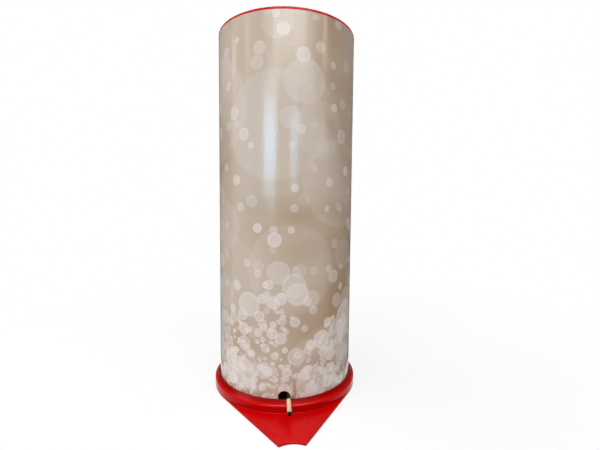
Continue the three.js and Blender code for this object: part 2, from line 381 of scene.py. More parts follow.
def red_polystyrene(name, red, flow_turn, shade_and_scuff=False):
    """High-impact polystyrene, injection moulded in a polished tool: a pure saturated red under a
    tight gloss that keeps the red's tint, with faint flow marks, a trace of sink and a very fine
    orange peel. With shade_and_scuff, shade is painted into the red on the slope by the tube, on
    the collar's side and in the crevice where it meets the plate, and on the foot's cut edge, and
    the foot's gloss is a little softer than the collar's."""
    material, tree, shader = finish(
        name, IOR=1.5, Specular_IOR_Level=0.2, Specular_Tint=(1.0, 0.3, 0.27, 1.0)
    )
    spot = put(tree, "TexCoord").outputs["Object"]
    turned_spot = put(tree, "Mapping", Vector=spot, Rotation=(0, 0, flow_turn), Scale=(1, 0.35, 1))
    # Flow marks some 20 mm apart, drawn out from the gate
    _, colour = mottled(
        tree, turned_spot, 0.86, red, Scale=1 / (20 * MM), Detail=4, Roughness=0.55, Distortion=0.6
    )
    if shade_and_scuff:
        out = off_axis(tree, spot)
        # Painted shade on the slope by the tube, and on the collar's side and in the crevice where
        # it meets the plate
        slope = put(
            tree, "MapRange", out, COLLAR - 1.7 * MM, COLLAR - 0.7 * MM, 0.5, 1.0,
            interpolation_type="SMOOTHSTEP",
        )
        past = put(tree, "Math SUBTRACT", out, COLLAR)
        off_side = put(tree, "Math ABSOLUTE", past)
        side = put(tree, "MapRange", off_side, 0.05 * MM, 0.4 * MM, 0.76, 1.0)
        up = put(tree, "SeparateXYZ", spot).outputs[2]
        # Painted shade on the foot's cut edge, down to the underside
        sunk = put(tree, "MapRange", up, FLOOR - 0.7 * MM, FLOOR - 0.1 * MM, 0.48, 0.0)
        on_foot = put(tree, "Math GREATER_THAN", out, COLLAR + 0.1 * MM)
        shaded = put(tree, "Math MULTIPLY", sunk, on_foot)
        rim = put(tree, "Math SUBTRACT", 1.0, shaded)
        below = put(tree, "Math LESS_THAN", up, 0.05 * MM)
        within = put(tree, "Math LESS_THAN", out, SOCKET - 0.1 * MM)
        unshaded = put(tree, "Math MAXIMUM", below, within)
        # The painted shades multiply, and the underside and everything inside the socket keep the
        # full red
        collar = put(tree, "Math MULTIPLY", slope, side)
        painted_shade = put(tree, "Math MULTIPLY", collar, rim)
        dull = put(tree, "Math MAXIMUM", painted_shade, unshaded)
        colour = put(tree, "VectorMath SCALE", colour, Scale=dull)
    # Handling haze: patches a few centimetres wide where the gloss is a little duller
    haze = put(tree, "TexNoise", Vector=spot, Scale=1 / (12 * MM), Detail=5, Roughness=0.65)
    gloss = put(tree, "MapRange", haze, 0.35, 0.75, 0.1, 0.18)
    if shade_and_scuff:
        scuffed = put(tree, "MapRange", out, COLLAR, COLLAR + 1 * MM, 0.0, 0.12)
        gloss = put(tree, "Math ADD", gloss, scuffed)
    # Orange peel of 0.7 mm, 3 micrometres high, on a sink wave of 14 mm
    _, sink = relief(tree, spot, 0.05 * MM, Scale=1 / (14 * MM), Detail=1)
    _, peel = relief(tree, spot, 0.003 * MM, sink, Scale=1 / (0.7 * MM), Detail=2)
    feed(tree, shader, Base_Color=colour, Roughness=gloss, Normal=peel)
    return material


# A layer of the print: its inputs and their units
LAYER = {
    "Spacing": MM, "Small": MM, "Large": MM, "Blur": MM, "Rim": 1, "Share": 1, "Faint": 1,
    "Strong": 1, "Turn": 1, "Top": MM, "Fade": MM, "Clump": MM,
}
# Each layer's spacing, smallest and largest radius, blur and rim, share of places used, faintest
# and strongest spot, turn, and the height up to which it goes, the length over which it thins out
# there and how much its clumps shift that
SPOTS = (
    (131, 33, 41, 4.0, 0.0, 0.95, 0.08, 0.20, 0.4, 400, 10, 0),
    (109, 26, 34, 3.0, 0.0, 0.90, 0.07, 0.18, 1.3, 400, 10, 0),
    (92, 20, 28, 2.4, 0.0, 0.85, 0.07, 0.18, 2.2, 400, 10, 0),
    (71, 14, 21, 1.8, 0.0, 0.75, 0.08, 0.20, 3.1, 400, 10, 0),
    (47, 8, 14, 1.2, 0.05, 0.50, 0.10, 0.24, 4.4, 400, 10, 0),
    (29, 4, 7.5, 0.8, 0.1, 0.45, 0.10, 0.32, 5.1, 400, 10, 0),
    (17, 2.8, 4.6, 0.5, 0.15, 0.34, 0.20, 0.62, 5.7, 400, 10, 0),
    (12, 2.0, 3.2, 0.4, 0.15, 0.20, 0.20, 0.64, 6.3, 400, 10, 0),
    (38, 7, 11.5, 0.8, 0.15, 0.85, 0.35, 0.65, 7.9, 96, 45, 60),
    (30, 5, 9, 0.7, 0.2, 0.85, 0.35, 0.70, 9.1, 92, 45, 70),
    (20, 3.4, 6.2, 0.6, 0.25, 0.90, 0.40, 0.78, 10.6, 90, 50, 80),
    (16, 2.8, 4.9, 0.5, 0.3, 0.90, 0.45, 0.80, 11.9, 86, 50, 90),
    (13, 2.2, 4.0, 0.45, 0.3, 0.90, 0.45, 0.80, 12.6, 84, 50, 100),
    (10, 1.7, 3.1, 0.42, 0.35, 0.90, 0.50, 0.82, 13.3, 80, 50, 110),
    (8, 1.3, 2.5, 0.4, 0.35, 0.90, 0.50, 0.85, 14.8, 74, 50, 110),
    (6, 0.9, 1.9, 0.35, 0.35, 0.90, 0.50, 0.85, 16.1, 68, 50, 110),
    (4.4, 0.7, 1.4, 0.3, 0.35, 0.85, 0.50, 0.85, 17.5, 62, 50, 110),
)


def spot_layer():
    """A node group for one layer of the print: soft round spots of random size and strength, which
    thin out towards a height and gather in loose clumps."""
    tree, take, result = group(
        "soft_spots", "ShaderNodeTree", "Float", Vector="Vector", **dict.fromkeys(LAYER, 0.0)
    )
    turn = put(
        tree, "VectorRotate", rotation_type="Z_AXIS", Vector=take["Vector"], Angle=take["Turn"]
    )
    shift = put(tree, "VectorMath ADD", turn, take["Turn"])
    scale = put(tree, "Math DIVIDE", 1.0, take["Spacing"])
    cells = put(
        tree, "TexVoronoi", voronoi_dimensions="2D", Vector=shift, Scale=scale, Randomness=0.5
    )
    away = put(tree, "Math MULTIPLY", cells.outputs["Distance"], take["Spacing"])
    lots = put(tree, "SeparateColor", cells.outputs["Color"]).outputs
    # Where the spot's middle lies on the paper says whether it is printed
    back = put(tree, "VectorMath SUBTRACT", cells.outputs["Position"], take["Turn"])
    unturned = put(tree, "Math MULTIPLY", take["Turn"], -1.0)
    spot = put(tree, "VectorRotate", rotation_type="Z_AXIS", Vector=back, Angle=unturned)
    height = put(tree, "SeparateXYZ", spot).outputs[1]
    clumps = put(
        tree, "TexNoise", noise_dimensions="2D", Vector=spot, Scale=1 / (24 * MM), Detail=1
    )
    gathered = put(tree, "Math SUBTRACT", clumps, 0.5)
    lifted = put(tree, "Math MULTIPLY", gathered, take["Clump"])
    reached = put(tree, "Math SUBTRACT", height, lifted)
    start = put(tree, "Math SUBTRACT", take["Top"], take["Fade"])
    chance = put(tree, "MapRange", reached, start, take["Top"], take["Share"], 0.0)
    lit = put(tree, "Math LESS_THAN", lots[1], chance)
    # Small spots are the common ones
    lot = put(tree, "Math POWER", lots[0], 1.2)
    radius = put(tree, "MapRange", lot, None, None, take["Small"], take["Large"])
    inner = put(tree, "Math SUBTRACT", radius, take["Blur"])
    edge = put(tree, "MapRange", away, inner, radius, 1.0, 0.0, interpolation_type="SMOOTHSTEP")
    rim_start = put(tree, "Math MULTIPLY", inner, 0.7)
    rim = put(tree, "MapRange", away, rim_start, inner, interpolation_type="SMOOTHSTEP")
    rim_part = put(tree, "Math MULTIPLY", rim, take["Rim"])
    body = put(tree, "Math SUBTRACT", 1.0, take["Rim"])
    fullness = put(tree, "Math ADD", body, rim_part)
    level = put(tree, "MapRange", lots[2], None, None, take["Faint"], take["Strong"])
    shown = put(tree, "Math MULTIPLY", lit, level)
    full = put(tree, "Math MULTIPLY", fullness, edge)
    total = put(tree, "Math MULTIPLY", shown, full)
    plug(tree, result.inputs[0], total)
    return tree


def varnished_print(settings):
    """Offset-printed paper under a gloss varnish: a warm beige print of soft round spots, and over
    it a clear coat whose fine orange peel breaks up the edges of what it reflects."""
    material, tree, shader = finish(
        "varnished_print_paper", IOR=1.5, Specular_IOR_Level=0.1, Roughness=0.5, Coat_Weight=1.0,
        Coat_Roughness=0.075, Coat_IOR=1.5,
    )
    print_map = put(tree, "UVMap", uv_map="print")
    # The ground drifts between two beiges over some 70 mm, and is the darker one low down
    drift = put(
        tree, "TexNoise", noise_dimensions="2D", Vector=print_map, Scale=1 / (70 * MM), Detail=2,
        Distortion=0.5,
    )
    rise = put(tree, "SeparateXYZ", print_map).outputs[1]
    lift = put(tree, "MapRange", rise, 40 * MM, 105 * MM, -0.06, 0.18)
    lifted = put(tree, "Math ADD", drift, lift)
    mixed = put(tree, "MapRange", lifted, 0.32, 0.68, interpolation_type="SMOOTHSTEP")
    colour = put(
        tree, "Mix", mixed, (*settings.ground, 1), (*settings.light_ground, 1), data_type="RGBA"
    )
    layer = spot_layer()
    for row in SPOTS:
        values = {name: value * LAYER[name] for name, value in zip(LAYER, row)}
        spots = put(tree, "Group", node_tree=layer, Vector=print_map, **values)
        colour = put(tree, "Mix", spots, colour, (*settings.spot, 1), data_type="RGBA")
    # Paper grain of 0.5 mm shows through as a slight mottle
    grain = put(
        tree, "TexNoise", noise_dimensions="2D", Vector=print_map, Scale=1 / (0.5 * MM), Detail=3
    )
    mottle = put(tree, "MapRange", grain, None, None, 0.955, 1.045)
    toned = put(tree, "VectorMath SCALE", colour, Scale=mottle)
    # Orange peel in the varnish, 1.5 mm wide and 1.2 mm tall, over 9 mm waves in the paper
    drawn = put(tree, "VectorMath MULTIPLY", print_map, (0.8, 1, 1))
    _, rolled = relief(
        tree, print_map, 0.03 * MM, noise_dimensions="2D", Scale=1 / (9 * MM), Detail=1
    )
    _, varnish = relief(
        tree, drawn, 0.08 * MM, rolled, noise_dimensions="2D", Scale=1 / (1.2 * MM), Detail=2
    )
    feed(tree, shader, Base_Color=toned, Normal=varnish, Coat_Normal=varnish)
    return material


def fibre_board(name, colour, fleck, grain, rough=0.88, ply=0.0):
    """Pressed or wound card: matt, with short fibres, darker flecks and a slight nap. Where ply is
    given, the cut edge shows its layers as fine rings of that thickness."""
    material, tree, shader = finish(name, IOR=1.45, Specular_IOR_Level=0.25)
    spot = put(tree, "TexCoord").outputs["Object"]
    _, base = mottled(
        tree, spot, 0.78, colour, Scale=1 / (4 * grain), Detail=6, Roughness=0.7
    )
    flecks = put(tree, "TexVoronoi", Vector=spot, Scale=1 / (3.2 * grain), Randomness=1)
    marks = put(tree, "MapRange", flecks.outputs["Distance"], 0.06, 0.16, 0.55, 0.0)
    flecked = put(tree, "Mix", marks, base, linear(fleck), data_type="RGBA")
    if ply:
        layer = put(tree, "Math DIVIDE", off_axis(tree, spot), ply)
        part = put(tree, "Math FRACT", layer)
        line = put(tree, "MapRange", part, 0.0, 0.3, 0.45, 0.0)
        up = put(tree, "NewGeometry").outputs["Normal"]
        level = put(tree, "SeparateXYZ", up).outputs[2]
        end = put(tree, "Math GREATER_THAN", level, 0.6)
        ring = put(tree, "Math MULTIPLY", line, end)
        flecked = put(tree, "Mix", ring, flecked, linear("5E4A30"), data_type="RGBA")
    fibre, nap = relief(
        tree, spot, 0.06 * MM, strength=0.7, Scale=1 / grain, Detail=5, Roughness=0.75
    )
    dull = put(tree, "MapRange", fibre, None, None, rough - 0.08, rough + 0.06)
    feed(tree, shader, Base_Color=flecked, Roughness=dull, Normal=nap)
    return material


def coated_cord(settings):
    """Cotton-wound fuse dipped in a dark lacquer: nearly black, half gloss, with brown where the
    lacquer is thin on the thread's crowns."""
    material, tree, shader = finish("lacquered_cotton_fuse", IOR=1.5, Specular_IOR_Level=0.15)
    spot = put(tree, "TexCoord").outputs["Object"]
    thin, colour = mottled(
        tree, spot, settings.cord, linear("4A3C2C")[:3], 0.45, 0.8, Scale=1 / (0.9 * MM), Detail=5,
        Roughness=0.7,
    )
    gloss = put(tree, "MapRange", thin, None, None, 0.35, 0.6)
    _, yarn = relief(tree, spot, 0.03 * MM, strength=0.6, Scale=1 / (0.12 * MM), Detail=3)
    feed(tree, shader, Base_Color=colour, Roughness=gloss, Normal=yarn)
    return material


def primed_head(settings):
    """Dried match compound: matt, dark and lumpy, with a few lighter grains."""
    material, tree, shader = finish(
        "dried_match_compound", IOR=1.5, Specular_IOR_Level=0.12, Roughness=0.7
    )
    spot = put(tree, "TexCoord").outputs["Object"]
    grains = put(tree, "TexVoronoi", Vector=spot, Scale=1 / (0.22 * MM))
    pale = put(tree, "MapRange", grains.outputs["Distance"], 0.1, 0.35, 0.5, 0.0)
    colour = put(tree, "Mix", pale, (*settings.prime, 1), linear("1A1410"), data_type="RGBA")
    crust = put(tree, "Bump", Strength=0.8, Distance=0.06 * MM, Height=grains.outputs["Distance"])
    feed(tree, shader, Base_Color=colour, Normal=crust)
    return material


def sleeve_paper(settings):
    """Unbleached paper wound on the fuse: cream and matt, with fine fibres along the strip."""
    material, tree, shader = finish(
        "wound_cream_paper", IOR=1.45, Specular_IOR_Level=0.25, Roughness=0.8
    )
    spot = put(tree, "TexCoord").outputs["Object"]
    fibre = put(tree, "Mapping", Vector=spot, Scale=(1, 0.4, 1))
    strands, colour = mottled(
        tree, fibre, 0.82, settings.sleeve, Scale=1 / (0.25 * MM), Detail=4, Roughness=0.7
    )
    ridges = put(tree, "Bump", Strength=0.6, Distance=0.02 * MM, Height=strands)
    feed(tree, shader, Base_Color=colour, Normal=ridges)
    return material


def cotton_wool(settings):
    """Nitrated cotton fibre: off-white and soft, with a slight sheen on the single fibres."""
    material, tree, shader = finish(
        "nitrated_cotton", Roughness=0.85, Sheen_Weight=0.35, Sheen_Roughness=0.5
    )
    spot = put(tree, "TexCoord").outputs["Object"]
    _, colour = mottled(tree, spot, 0.8, settings.wool, Scale=1 / (2.5 * MM), Detail=5)
    feed(tree, shader, Base_Color=colour)
    return material


# Moulded base

FOOT_REACH = 75.4 * MM
FOOT_CORNER = 0.9 * MM


def foot_plan(tip_half, hollow):
    """Lines of the foot on its right side: the angle where the flank leaves the collar's circle,
    the middle and radius of the tip's hollow, and the middle and angles of the corner between."""
    flank_turn = math.atan2(tip_half, FOOT_REACH) + math.acos(
        COLLAR / math.hypot(tip_half, FOOT_REACH)
    )
    flank = heading(flank_turn)
    along = Vector((-math.cos(flank_turn), -math.sin(flank_turn), 0))
    bow = (tip_half**2 + hollow**2) / (2 * hollow)
    middle = Vector((0, hollow - FOOT_REACH - bow, 0))
    start = flank * (COLLAR - FOOT_CORNER) - middle
    b = start.dot(along)
    c = start.length_squared - (bow + FOOT_CORNER) ** 2
    centre = flank * (COLLAR - FOOT_CORNER) + along * (-b - math.sqrt(b * b - c))
    inward = (middle - centre).normalized()
    steps = 8
    corner = [centre + inward.slerp(flank, i / steps) * FOOT_CORNER for i in range(steps + 1)]
    return flank_turn, middle, bow, centre, [math.atan2(p.x, -p.y) for p in corner]


def foot_edge(turn, plan):
    """The plate's outline at an angle from the front: the point and the way it faces. The flanks
    are tangents of the collar's circle, and the tip is hollowed between rounded corners."""
    flank_turn, middle, bow, centre, corner_turns = plan
    side = abs(turn)
    ray = heading(side)
    if side >= flank_turn:
        point, facing = ray * COLLAR, ray.copy()
    elif side >= corner_turns[-1]:
        point, facing = ray * (COLLAR / math.cos(flank_turn - side)), heading(flank_turn)
    elif side >= corner_turns[0]:
        depth = ray.dot(centre)
        point = ray * (depth + math.sqrt(depth**2 - centre.length_squared + FOOT_CORNER**2))
        facing = (point - centre) / FOOT_CORNER
    else:
        depth = ray.dot(middle)
        point = ray * (depth - math.sqrt(depth**2 - middle.length_squared + bow**2))
        facing = (middle - point) / bow
    if turn < 0:
        point.x, facing.x = -point.x, -facing.x
    return point, facing


GROOVE_MIDDLE = (SOCKET + COLLAR) / 2
GROOVE_SKIN = 1.05 * MM
GROOVE_DEPTH = COLLAR_TOP - 3.2 * MM
GROOVE_WEB = 1.4 * MM
GROOVE_MOUTH = 0.3 * MM
GROOVE_DRAFT = 0.1 * MM
SPIGOT_MIDDLE = SPIGOT - SPIGOT_WALL / 2
GUSSET_TOE = SPIGOT_INNER - 6 * MM
GUSSET_HEIGHT = 9 * MM
# Half the gusset's thickness in steps, and how far its top has dropped there
GUSSET_SIDE = (
    (0, 0), (0.4 * MM, 0), (0.53 * MM, 0.05 * MM), (0.6 * MM, 0.2 * MM), (0.68 * MM, None)
)
# Notch in the spigot behind the fuse hole: distance inside its side and height there
NOTCH_HALF = HOLE_RADIUS + 0.6 * MM
NOTCH_FLOOR = HOLE_HEIGHT - HOLE_RADIUS
NOTCH_SIDE = tuple(
    (inside * MM, level + above * MM)
    for inside, level, above in (
        (-0.2, SPIGOT_TOP, 0), (-0.06, SPIGOT_TOP, -0.05), (0, SPIGOT_TOP, -0.2),
        (0.05, NOTCH_FLOOR, 0.8), (0.11, NOTCH_FLOOR, 0.5), (0.28, NOTCH_FLOOR, 0.23),
        (0.55, NOTCH_FLOOR, 0.06), (0.85, NOTCH_FLOOR, 0),
    )
)
CHARGE_RING = liner_high.x + FIT
# Columns of the base all round, and the least angle between them, about 0.13 mm at the collar
COLUMNS = 240
COLUMN_GAP = 0.0028
# Rings of points on the flat of the underside, and how far inside the edge the last one runs
UNDER_RINGS = (16 * MM, 30 * MM, 42 * MM)
RIM_RING = 0.45 * MM
# The width of the plate outside the collar from which on its edge has its full rounding
FULL_LEDGE = 1.9 * MM


def quarter(steps):
    """The points of a quarter round of radius 1, from the corner of one wall to the other's."""
    turns = [QUARTER * i / steps for i in range(steps + 1)]
    return [(1 - math.sin(turn), 1 - math.cos(turn)) for turn in turns]


def groove_stations():
    """Distance inside a groove's outline and depth there: rounded mouth, drafted wall, rounded
    roof."""
    mouth = [(-GROOVE_MOUTH * a, GROOVE_MOUTH * b) for a, b in quarter(3)]
    return mouth + [
        (GROOVE_DRAFT + GROOVE_MOUTH * b, GROOVE_DEPTH - GROOVE_MOUTH * a) for a, b in quarter(3)
    ]


def between(value, pairs):
    """The second value of the pairs at a first value, on straight lines between them."""
    if value <= pairs[0][0]:
        return pairs[0][1]
    for (x0, y0), (x1, y1) in zip(pairs, pairs[1:]):
        if value <= x1:
            return y0 + (y1 - y0) * (value - x0) / (x1 - x0)
    return pairs[-1][1]


def nearest(turn, count, phase=0.0):
    """Angle to the nearest of count places spaced evenly round the axis."""
    step = TURN / count
    return math.remainder(turn - phase * step, step)


def base_turns(settings, stations, plan):
    """The angles of the base's columns: close together where a web, gusset, notch or the tip needs
    it."""
    pairs = [(0, turn) for turn in (plan[0], *plan[-1])]
    for i in range(settings.grooves):
        middle = i * TURN / settings.grooves
        pairs += [(middle, (GROOVE_WEB / 2 + inside) / GROOVE_MIDDLE) for inside, _ in stations]
    for i in range(settings.gussets):
        middle = (i + 0.5) * TURN / settings.gussets
        pairs += [(middle, half / SPIGOT_INNER) for half, _ in GUSSET_SIDE]
    pairs += [(HOLE_TURN, (NOTCH_HALF - inside) / SPIGOT_MIDDLE) for inside, _ in NOTCH_SIDE]
    exact = ordered(middle + side * off for middle, off in pairs for side in (-1, 1))
    tip = [math.radians(0.4 * i) for i in range(-12, 13)]
    spare = []
    for turn in ordered([i * TURN / COLUMNS for i in range(COLUMNS)] + tip):
        if all(abs(turn - other) > COLUMN_GAP for other in exact + spare[-1:]):
            spare.append(turn)
    return sorted(exact + spare)


def ordered(turns):
    """The angles within half a turn of the front, in order and each once."""
    return sorted({round(math.remainder(turn, TURN), 9) for turn in turns})


def base_column(turn, settings, stations, upper, plan):
    """The points of one column of the base, from the middle of its underside outwards, up the edge
    and back over the top to the middle."""
    along_web = abs(nearest(turn, settings.grooves)) * GROOVE_MIDDLE - GROOVE_WEB / 2
    deepest = between(along_web, stations) if along_web > stations[0][0] else 0.0
    low = list(GATE_MARK) + [(r, 0) for r in UNDER_RINGS]
    walls = [(inside, min(depth, deepest)) for inside, depth in stations]
    low += [(SOCKET + GROOVE_SKIN + inside, depth) for inside, depth in walls]
    low += [(COLLAR - GROOVE_SKIN - inside, depth) for inside, depth in reversed(walls)]
    # Plate: its outline, with a small round below and a larger one above
    edge, facing = foot_edge(turn, plan)
    share = min(1.0, (edge.length - COLLAR) / FULL_LEDGE)
    low_round, high_round = 0.2 * MM, settings.foot_round * share
    fillet, margin = 0.4 * MM * share, 0.25 * MM * share
    rim = [(RIM_RING, 0)] + [(low_round * a, low_round * b) for a, b in quarter(5)]
    rim += [(high_round * b, FLOOR - high_round * a) for a, b in quarter(5)]
    rim.append((high_round + margin, FLOOR))
    foot = [(COLLAR + fillet + margin, FLOOR)]
    foot += [(COLLAR + fillet * a, FLOOR + fillet * b) for a, b in quarter(5)]
    # Collar, spigot and floor, with a gusset or the notch where this column meets one
    drop = gusset_drop(abs(nearest(turn, settings.gussets, 0.5)) * SPIGOT_INNER)
    notch_inside = NOTCH_HALF - abs(turn - HOLE_TURN) * SPIGOT_MIDDLE
    cut = between(notch_inside, NOTCH_SIDE) if notch_inside > NOTCH_SIDE[0][0] + WELD else None
    high = [(upper[0][0], FLOOR + fillet + margin)]
    for i, (r, z) in enumerate(upper[1:], 1):
        if drop is not None and GUSSET_TOE < r < SPIGOT_MIDDLE and i > len(upper) // 2:
            top = FLOOR + GUSSET_HEIGHT * (r - GUSSET_TOE) / (SPIGOT_MIDDLE - GUSSET_TOE)
            z = max(z, top - min(drop, top - FLOOR))
        if cut is not None and SPIGOT_INNER - WELD < r < SPIGOT + WELD:
            z = min(z, cut)
        high.append((r, z))
    points = [at(turn, r, z) for r, z in low]
    points += [edge - facing * inward + Vector((0, 0, z)) for inward, z in rim]
    return points + [at(turn, r, z) for r, z in foot + high]


def gusset_drop(inside):
    """How far a gusset's top has dropped at this distance from its middle, or None beside it."""
    if inside > (GUSSET_SIDE[-2][0] + GUSSET_SIDE[-1][0]) / 2:
        return None
    return between(inside, GUSSET_SIDE[:-1])


# Injection point in the middle of the underside: a shallow dimple with a small nub in it
GATE_MARK = tuple(
    (r * MM, z * MM)
    for r, z in ((0, 0.18), (0.7, 0.18), (0.95, 0.42), (3.4, 0.42), (3.9, 0.1), (4.1, 0.0))
)


def moulded_base(settings):
    upper = rounded(
        [
            (COLLAR, FLOOR),
            (COLLAR, COLLAR_TOP - settings.collar_slope, settings.collar_round),
            (SOCKET + 0.4 * MM, COLLAR_TOP, 0.4 * MM),
            (SOCKET, COLLAR_TOP, 0.12 * MM),
            (SOCKET, FLOOR, 0.3 * MM),
            (SPIGOT, FLOOR, 0.3 * MM),
            (SPIGOT, SPIGOT_TOP - 0.7 * MM, 0.2 * MM),
            (SPIGOT - 0.7 * MM, SPIGOT_TOP, 0.2 * MM),
            (SPIGOT_INNER, SPIGOT_TOP, 0.15 * MM),
            (SPIGOT_INNER, FLOOR, 0.4 * MM),
            (GUSSET_TOE, FLOOR),
            (CHARGE_RING + 1.2 * MM, FLOOR, 0.3 * MM),
            (CHARGE_RING + 1.2 * MM, FLOOR + 2.4 * MM, 0.25 * MM),
            (CHARGE_RING, FLOOR + 2.4 * MM, 0.25 * MM),
            (CHARGE_RING, FLOOR, 0.25 * MM),
            (0, FLOOR),
        ],
        steps=5,
        margin=0.2 * MM,
    )
    stations = groove_stations()
    plan = foot_plan(settings.foot_tip / 2, settings.foot_hollow)
    turns = base_turns(settings, stations, plan)
    points, faces = loft([base_column(turn, settings, stations, upper, plan) for turn in turns])
    red = red_polystyrene("moulded_red_polystyrene", settings.red, 0.3, shade_and_scuff=True)
    return skin("moulded_base", points, faces, [red])


# Card tube and printed paper


def rolled_sheet(name, radius, wall, low, high, seam, lap, rise, materials, hole=None):
    """A sheet rolled into a tube, whose outer end laps over the inner one and shows as a fine step.
    A hole is the height and radius of a round opening opposite the seam. The print's coordinates
    are the real distances round and up the sheet."""
    sliver, cell, row, cells, lap_cells = 0.03 * MM, 1.5 * MM, 3 * MM, 16, 12
    half_way = math.pi * radius
    patch = hole[0] - low if hole else 0.0
    middle = [patch * (2 * i / cells - 1) for i in range(cells + 1)] if hole else [0.0]
    flat = half_way - lap - patch
    count = round(flat / cell)
    right = [patch + flat * i / count for i in range(1, count + 1)]
    rising = [half_way - lap + lap * i / lap_cells for i in range(1, lap_cells + 1)]
    left = [-u for u in reversed(right + rising[:-1])]
    across = [-half_way + sliver] + left + middle + right + rising
    upright = [low + 2 * patch * i / cells for i in range(cells + 1)] if hole else [low]
    rest = high - upright[-1]
    rows = round(rest / row)
    upward = upright + [upright[-1] + rest * i / rows for i in range(1, rows + 1)]
    points, index, faces, corners, slots = [], {}, [], [], []

    def corner(u, v):
        key = (round(u / WELD), round(v / WELD))
        if key not in index:
            index[key] = len(points)
            part = min(1.0, max(0.0, (u - half_way + lap) / (0.25 * lap)))
            out = radius + rise * part**2 * (3 - 2 * part)
            points.append(at(seam + math.pi + u / radius, out, v))
        return index[key]

    def face(pairs, slot=0):
        faces.append([corner(u, v) for u, v in pairs])
        corners.append(pairs)
        slots.append(slot)

    for u0, u1 in zip(across, across[1:]):
        for v0, v1 in zip(upward, upward[1:]):
            if hole and abs(u0 + u1) < 2 * patch and v1 < low + 2 * patch + WELD:
                continue
            face([(u0, v0), (u1, v0), (u1, v1), (u0, v1)])
    for v0, v1 in zip(upward, upward[1:]):
        seam_ends = ((across[-1], v0), (across[0], v0), (across[0], v1), (across[-1], v1))
        faces.append([corner(u, v) for u, v in seam_ends])
        corners.append([(half_way, v0), (half_way, v0), (half_way, v1), (half_way, v1)])
        slots.append(1)
    if hole:
        ring = [(u, low) for u in middle[:-1]] + [(patch, v) for v in upright[:-1]]
        ring += [(u, upright[-1]) for u in reversed(middle[1:])]
        ring += [(-patch, v) for v in reversed(upright[1:])]
        rings = [ring]
        for part in (0.22, 0.42, 0.6, 0.76, 0.88, 0.96, 1.0):
            away = [Vector((u, v - hole[0])) for u, v in ring]
            spots = [spot.lerp(spot.normalized() * hole[1], part) for spot in away]
            rings.append([(spot.x, spot.y + hole[0]) for spot in spots])
        for outer, inner in zip(rings, rings[1:]):
            for i in range(len(ring)):
                j = (i + 1) % len(ring)
                face([outer[i], outer[j], inner[j], inner[i]])
    piece = skin(name, points, faces, materials, slots, corners)
    solid = piece.modifiers.new("wall", "SOLIDIFY")
    solid.thickness = wall
    solid.offset = -1
    solid.material_offset = 1
    solid.material_offset_rim = 1
    return settle(piece)


def spiral_tube(settings, material):
    """The card tube: its cut ends show their plies, and inside the inmost ply's edges meet in a
    fine spiral groove."""
    around, cell = 144, 2 * MM
    turns = [i * TURN / around for i in range(around)]
    # Closer columns beside the inmost ply's butt joint, which is a groove
    turns += [side * off * MM / BORE for side in (-1, 1) for off in (0.2, 0.42)]
    joint = 0.13 * MM
    cut = [(core_high.x, 0.0)]
    for i in range(1, PLIES):
        middle = core_high.x - i * (core_high.x - BORE) / PLIES
        cut += [(middle + 0.05 * MM, 0.0), (middle, 0.09 * MM), (middle - 0.05 * MM, 0.0)]
    cut.append((BORE, 0.0))
    tall = core_high.z - core_low.z
    steps = round(tall / cell)
    columns = []
    for turn in ordered(turns):
        groove = joint if abs(turn) < 0.1 * MM / BORE else 0.0
        column = [at(turn, r, core_high.z - dip) for r, dip in cut]
        for drop in (tall * i / steps for i in range(1, steps)):
            along = turn + TURN * drop / settings.ply_lead
            column.append(at(along, BORE + groove, core_high.z - drop))
        column += [at(turn, r, core_low.z + dip) for r, dip in reversed(cut)]
        columns.append(column + column[:1])
    points, faces = loft(columns)
    piece = skin("spiral_card_tube", points, faces, [material])
    drill = bpy.data.meshes.new("drill")
    form = bmesh.new()
    lay = Matrix.Rotation(HOLE_TURN, 4, "Z") @ Matrix.Translation((0, -SOCKET, HOLE_HEIGHT))
    bmesh.ops.create_cone(
        form, cap_ends=True, segments=64, radius1=HOLE_RADIUS, radius2=HOLE_RADIUS, depth=SOCKET,
        matrix=lay @ Matrix.Rotation(QUARTER, 4, "X"),
    )
    form.to_mesh(drill)
    form.free()
    tool = link("drill", drill)
    hole = piece.modifiers.new("fuse hole", "BOOLEAN")
    hole.operation = "DIFFERENCE"
    hole.solver = "MANIFOLD"
    hole.object = tool
    settle(piece)
    bpy.data.objects.remove(tool)
    bpy.data.meshes.remove(drill)
    return piece


# Turned pieces


def turning_tree():
    """A profile of edges in the XZ plane, turned round the Z axis."""
    tree, take, result = group(
        "turned_profile", "GeometryNodeTree", "Geometry", Profile="Geometry", Around=192,
        Material="Material",
    )
    rows = put(tree, "GeometryNodeAttributeDomainSize", take["Profile"], component="MESH")
    lines = put(tree, "Math ADD", take["Around"], 1.0)
    grid = put(
        tree, "GeometryNodeMeshGrid", Vertices_X=rows.outputs["Point Count"], Vertices_Y=lines
    )
    number = put(tree, "GeometryNodeInputIndex")
    share = put(tree, "Math DIVIDE", number, lines)
    row = put(tree, "Math FLOOR", share)
    line = put(tree, "Math MODULO", number, lines)
    part = put(tree, "Math DIVIDE", line, take["Around"])
    turn = put(tree, "Math MULTIPLY", part, TURN)
    here = put(tree, "GeometryNodeInputPosition")
    sample = put(
        tree, "GeometryNodeSampleIndex", data_type="FLOAT_VECTOR", domain="POINT",
        Geometry=take["Profile"], Value=here, Index=row,
    )
    spun = put(tree, "VectorRotate", rotation_type="Z_AXIS", Vector=sample, Angle=turn)
    shaped = put(tree, "GeometryNodeSetPosition", Geometry=grid, Position=spun)
    turned_out = put(tree, "GeometryNodeFlipFaces", shaped)
    welded = put(tree, "GeometryNodeMergeByDistance", turned_out, Distance=WELD)
    return close(tree, welded, take, result)


def close(tree, shaped, take, result):
    """Ends a geometry tree: real geometry with its material."""
    real = put(tree, "GeometryNodeRealizeInstances", shaped)
    painted = put(tree, "GeometryNodeSetMaterial", real, Material=take["Material"])
    plug(tree, result.inputs[0], painted)
    return tree


